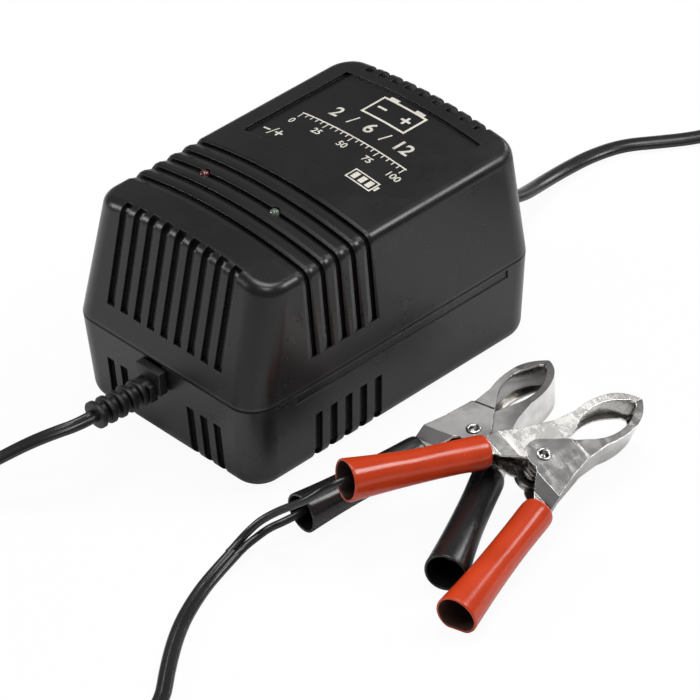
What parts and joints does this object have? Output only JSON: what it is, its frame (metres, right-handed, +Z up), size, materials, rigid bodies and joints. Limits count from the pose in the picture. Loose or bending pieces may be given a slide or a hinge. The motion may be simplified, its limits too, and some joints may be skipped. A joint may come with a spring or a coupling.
{
  "type": "car battery charger",
  "caption": "Small mains battery charger: ribbed two-part case with lamps, strain reliefs, a plug lead, and an output lead with red and black spring clips.",
  "frame": {"origin": "middle of the case's footprint, on the surface it stands on", "axes": "+Z up; -Y is the end where the output lead leaves, +Y the end of the mains lead; +X is the side with the clips"},
  "size_m": [0.1865, 0.4049, 0.0658],
  "materials": {
    "case_plastic": "fine spark-eroded texture, dark grey",
    "screw_steel": "zinc plated",
    "core_steel": "varnished electrical steel",
    "bobbin_nylon": "natural nylon",
    "winding_tape": "yellow-brown polyester tape",
    "board_laminate": "green solder mask",
    "capacitor_sleeve": "shrink sleeve",
    "diode_epoxy": "moulded epoxy",
    "sink_aluminium": "extruded, plain",
    "red_lens": "diffuse red lens",
    "clear_lens": "clear green lens",
    "soft_black": "soft moulded",
    "lead_jacket": "soft jacket with a low sheen",
    "plug_black": "moulded on",
    "pin_nickel": "nickel plated",
    "clip_nickel": "nickel plated pressed steel",
    "spring_steel": "plated spring wire",
    "black_sleeve": "soft glossy sleeve",
    "red_sleeve": "soft glossy orange-red sleeve",
    "crimp_brass": "folded round the wire"
  },
  "bodies": {
    "root": {"upper_shell": "case_plastic", "lower_shell": "case_plastic", "housing_screws": "screw_steel", "transformer_core": "core_steel", "transformer_bobbin": "bobbin_nylon", "transformer_winding": "winding_tape", "circuit_board": "board_laminate", "smoothing_capacitor": "capacitor_sleeve", "rectifier_diodes": "diode_epoxy", "heat_sink": "sink_aluminium", "regulator": "diode_epoxy", "led_polarity": "red_lens", "led_charge": "clear_lens", "output_strain_relief": "soft_black", "mains_strain_relief": "soft_black", "output_lead_coil": "lead_jacket", "output_lead_start": "lead_jacket", "output_lead_end": "lead_jacket", "mains_lead_coil": "lead_jacket", "mains_lead_start": "lead_jacket", "mains_lead_end": "lead_jacket", "mains_plug_body": "plug_black", "mains_plug_pins": "pin_nickel", "red_wire": "lead_jacket", "black_wire": "lead_jacket", "black_lower_jaw": "clip_nickel", "black_rivet": "clip_nickel", "black_spring": "spring_steel", "black_lower_sleeve": "black_sleeve", "red_lower_jaw": "clip_nickel", "red_rivet": "clip_nickel", "red_spring": "spring_steel", "red_lower_sleeve": "red_sleeve"},
    "black_lever": {"black_upper_jaw": "clip_nickel", "black_upper_sleeve": "black_sleeve", "black_crimp": "crimp_brass", "black_wire_end": "lead_jacket"},
    "red_lever": {"red_upper_jaw": "clip_nickel", "red_upper_sleeve": "red_sleeve", "red_crimp": "crimp_brass", "red_wire_end": "lead_jacket"}
  },
  "joints": [
    {"name": "black_clip_hinge", "type": "hinge", "parent": "root", "child": "black_lever", "pos_m": [0.0664, -0.0014, 0.00612], "axis": [0, 0, 1], "range_deg": [0, 20], "stiffness_Nm_per_rad": 0.12, "springref_deg": -57.3, "deforming": ["black_spring"]},
    {"name": "red_clip_hinge", "type": "hinge", "parent": "root", "child": "red_lever", "pos_m": [0.0913, -0.0022, 0.01297], "axis": [0.3991, 0.0333, 0.9163], "range_deg": [0, 20], "stiffness_Nm_per_rad": 0.12, "springref_deg": -57.3, "deforming": ["red_spring"]}
  ]
}
